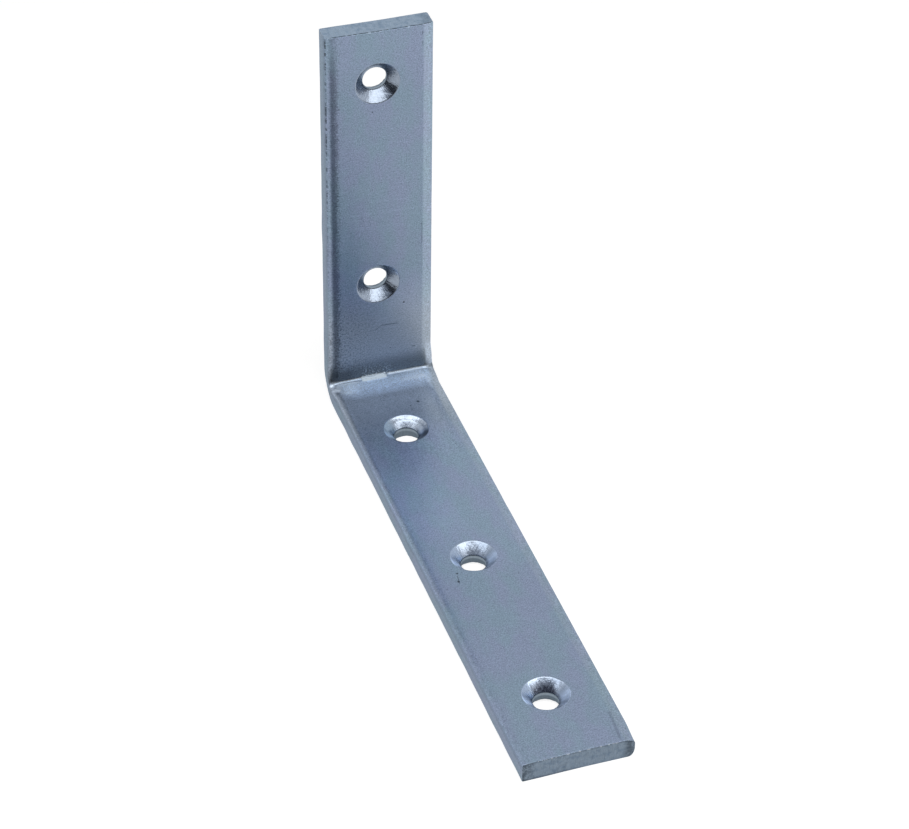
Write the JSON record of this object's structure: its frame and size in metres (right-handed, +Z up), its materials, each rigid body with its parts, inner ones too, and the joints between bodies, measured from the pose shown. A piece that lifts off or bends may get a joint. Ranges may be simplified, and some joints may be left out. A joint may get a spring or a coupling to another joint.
{
  "type": "angle bracket",
  "caption": "Square angle bracket bent from one flat zinc-plated steel bar, with countersunk screw holes on the inner faces of a long and a short leg.",
  "frame": {"origin": "the heel: the square outer corner at mid width, where the planes of the two outer faces meet", "axes": "+Z up along the short leg's outer face; the long leg runs along -Y with its outer face at z = 0; X is the width"},
  "size_m": [0.0258, 0.1425, 0.101],
  "materials": {
    "zinc_plated_steel": "satin blue-grey zinc plating on flat steel bar, brighter in the machined countersinks"
  },
  "bodies": {
    "root": {"angle_bracket": "zinc_plated_steel"}
  },
  "joints": []
}
